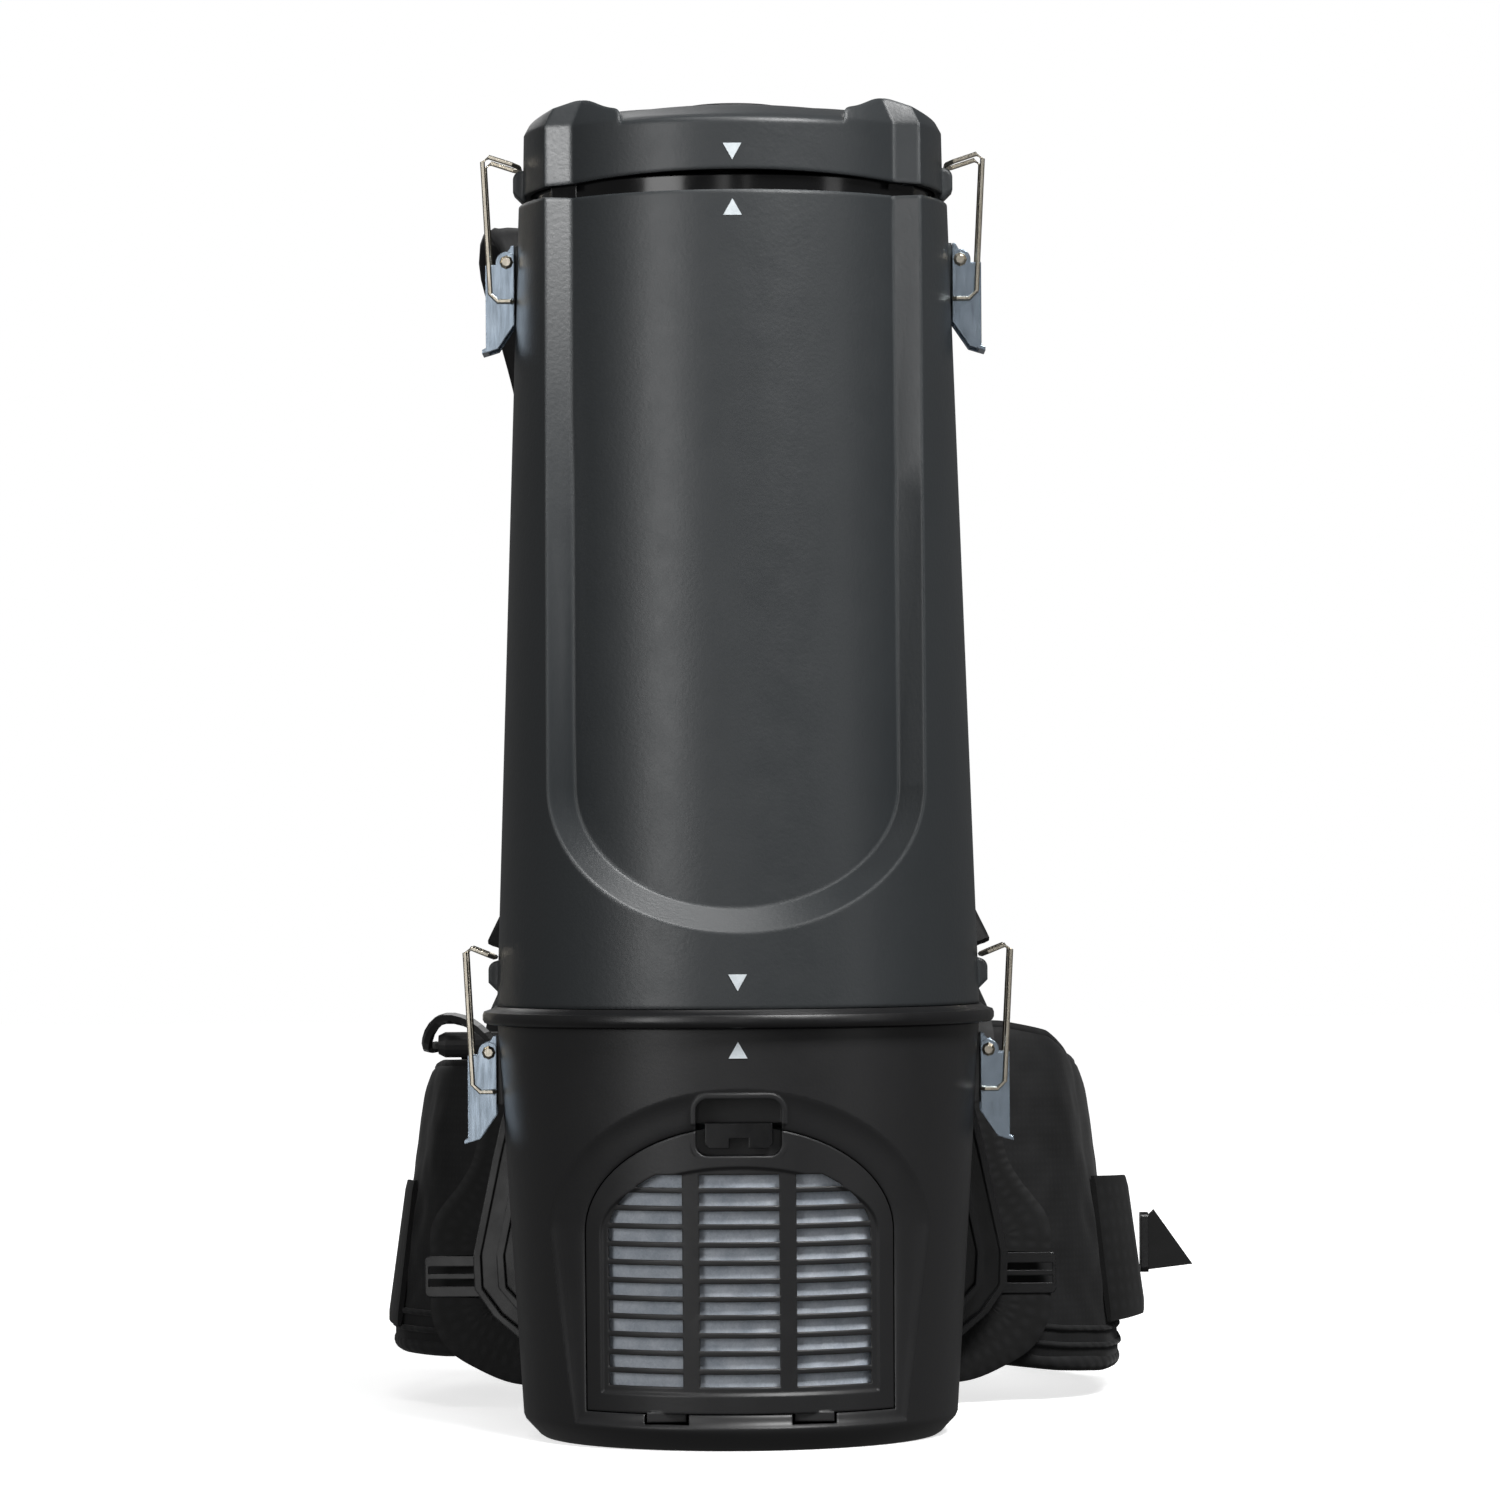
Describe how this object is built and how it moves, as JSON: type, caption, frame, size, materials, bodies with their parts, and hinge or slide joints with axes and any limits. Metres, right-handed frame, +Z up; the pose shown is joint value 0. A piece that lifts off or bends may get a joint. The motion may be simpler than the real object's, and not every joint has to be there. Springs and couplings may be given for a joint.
{
  "type": "backpack vacuum cleaner",
  "caption": "Back-worn vacuum cleaner: tapered canister with lift-off lid, bag chamber and motor base held by wire latches, louvred exhaust door, back frame, padded belt and straps",
  "frame": {"origin": "centre of the base's flat underside", "axes": "+Z up along the canister, -Y out through the exhaust door, +Y to the wearer's back, +X to the right seen from the exhaust door's side"},
  "size_m": [0.3656, 0.4752, 0.5556],
  "materials": {
    "charcoal_plastic": "satin",
    "black_plastic": "satin",
    "gloss_black": "gloss",
    "soft_rubber": "matte",
    "zinc_steel": "bright zinc plate",
    "nickel_wire": "bright",
    "motor_steel": "plain",
    "wound_copper": "enamelled wire",
    "padded_fabric": "woven",
    "webbing_fabric": "webbing",
    "filter_felt": "felt",
    "bag_paper": "paper fleece",
    "filter_foam": "open foam"
  },
  "bodies": {
    "base": {"base_housing": "black_plastic", "motor_deck": "black_plastic", "motor_seal": "soft_rubber", "fan_shell": "motor_steel", "field_frame": "motor_steel", "motor_boot": "soft_rubber", "cord_inlet": "black_plastic", "lead_gland": "soft_rubber", "switch_lead": "soft_rubber", "switch_box": "black_plastic", "back_frame": "gloss_black", "belt_support_rod": "black_plastic", "lumbar_pad": "padded_fabric", "waist_wing_left": "padded_fabric", "waist_wing_right": "padded_fabric", "hip_webbing_left": "webbing_fabric", "hip_webbing_right": "webbing_fabric", "shoulder_pad_left": "padded_fabric", "shoulder_pad_right": "padded_fabric", "shoulder_webbing_left": "webbing_fabric", "shoulder_webbing_right": "webbing_fabric", "anchor_webbing_left": "webbing_fabric", "anchor_webbing_right": "webbing_fabric", "strap_adjuster_left": "gloss_black", "strap_adjuster_right": "gloss_black", "buckle_socket": "gloss_black", "buckle_plug": "gloss_black", "strap_glide": "gloss_black", "strap_tail": "webbing_fabric", "lower_latch_plate_right": "zinc_steel", "lower_latch_plate_left": "zinc_steel", "lower_latch_rivet_right": "nickel_wire", "lower_latch_rivet_left": "nickel_wire"},
    "chamber": {"bag_chamber": "charcoal_plastic", "joint_ring": "soft_rubber", "bag_collar": "black_plastic", "filter_bag": "bag_paper", "bag_support_grid": "black_plastic", "motor_filter": "filter_foam", "upper_latch_plate_right": "zinc_steel", "upper_latch_plate_left": "zinc_steel", "upper_latch_rivet_right": "nickel_wire", "upper_latch_rivet_left": "nickel_wire"},
    "lid_section": {"lid": "charcoal_plastic", "lid_seal": "soft_rubber", "hose_inlet": "black_plastic"},
    "door": {"filter_door": "black_plastic", "exhaust_filter": "filter_felt"},
    "catch": {"door_catch": "gloss_black"},
    "rotor": {"impeller": "motor_steel", "armature": "wound_copper"},
    "rocker": {"switch_rocker": "gloss_black"},
    "upper_lever_right": {"upper_latch_lever_right": "zinc_steel"},
    "upper_bail_right": {"upper_latch_bail_right": "nickel_wire"},
    "upper_lever_left": {"upper_latch_lever_left": "zinc_steel"},
    "upper_bail_left": {"upper_latch_bail_left": "nickel_wire"},
    "lower_lever_right": {"lower_latch_lever_right": "zinc_steel"},
    "lower_bail_right": {"lower_latch_bail_right": "nickel_wire"},
    "lower_lever_left": {"lower_latch_lever_left": "zinc_steel"},
    "lower_bail_left": {"lower_latch_bail_left": "nickel_wire"}
  },
  "joints": [
    {"name": "chamber_lift", "type": "slide", "parent": "base", "child": "chamber", "axis": [0, 0, 1], "range_m": [0, 0.05]},
    {"name": "lid_lift", "type": "slide", "parent": "chamber", "child": "lid_section", "axis": [0, 0, 1], "range_m": [0, 0.05]},
    {"name": "door_swing", "type": "hinge", "parent": "base", "child": "door", "pos_m": [0, -0.08923, 0.015], "axis": [1, 0, 0], "range_deg": [0, 50]},
    {"name": "catch_slide", "type": "slide", "parent": "door", "child": "catch", "axis": [0, 0, -1], "range_m": [0, 0.0026], "stiffness_N_per_m": 300},
    {"name": "motor_spin", "type": "hinge", "parent": "base", "child": "rotor", "pos_m": [0, 0.006, 0.06], "axis": [0, 0, 1], "continuous": true},
    {"name": "upper_lever_right_swing", "type": "hinge", "parent": "chamber", "child": "upper_lever_right", "pos_m": [0.09493, 0, 0.491], "axis": [0, -1, 0], "range_deg": [0, 120]},
    {"name": "upper_bail_right_swing", "type": "hinge", "parent": "upper_lever_right", "child": "upper_bail_right", "pos_m": [0.09223, 0, 0.4746], "axis": [0, 1, 0], "range_deg": [0, 240]},
    {"name": "upper_lever_left_swing", "type": "hinge", "parent": "chamber", "child": "upper_lever_left", "pos_m": [-0.09493, 0, 0.491], "axis": [0, 1, 0], "range_deg": [0, 120]},
    {"name": "upper_bail_left_swing", "type": "hinge", "parent": "upper_lever_left", "child": "upper_bail_left", "pos_m": [-0.09223, 0, 0.4746], "axis": [0, -1, 0], "range_deg": [0, 240]},
    {"name": "lower_lever_right_swing", "type": "hinge", "parent": "base", "child": "lower_lever_right", "pos_m": [0.10454, 0, 0.1604], "axis": [0, -1, 0], "range_deg": [0, 120]},
    {"name": "lower_bail_right_swing", "type": "hinge", "parent": "lower_lever_right", "child": "lower_bail_right", "pos_m": [0.10184, 0, 0.144], "axis": [0, 1, 0], "range_deg": [0, 240]},
    {"name": "lower_lever_left_swing", "type": "hinge", "parent": "base", "child": "lower_lever_left", "pos_m": [-0.10454, 0, 0.1604], "axis": [0, 1, 0], "range_deg": [0, 120]},
    {"name": "lower_bail_left_swing", "type": "hinge", "parent": "lower_lever_left", "child": "lower_bail_left", "pos_m": [-0.10184, 0, 0.144], "axis": [0, -1, 0], "range_deg": [0, 240]},
    {"name": "rocker_tilt", "type": "hinge", "parent": "base", "child": "rocker", "pos_m": [-0.13942, 0.27177, 0.10587], "axis": [0.1707, -0.0584, 0.9836], "range_deg": [0, 14]}
  ],
  "couplings": [
    {"joint": "upper_lever_right_swing", "follows": "lid_lift", "rad_per_m": 41.888},
    {"joint": "upper_bail_right_swing", "follows": "lid_lift", "rad_per_m": 83.776},
    {"joint": "upper_lever_left_swing", "follows": "lid_lift", "rad_per_m": 41.888},
    {"joint": "upper_bail_left_swing", "follows": "lid_lift", "rad_per_m": 83.776},
    {"joint": "lower_lever_right_swing", "follows": "chamber_lift", "rad_per_m": 41.888},
    {"joint": "lower_bail_right_swing", "follows": "chamber_lift", "rad_per_m": 83.776},
    {"joint": "lower_lever_left_swing", "follows": "chamber_lift", "rad_per_m": 41.888},
    {"joint": "lower_bail_left_swing", "follows": "chamber_lift", "rad_per_m": 83.776}
  ]
}
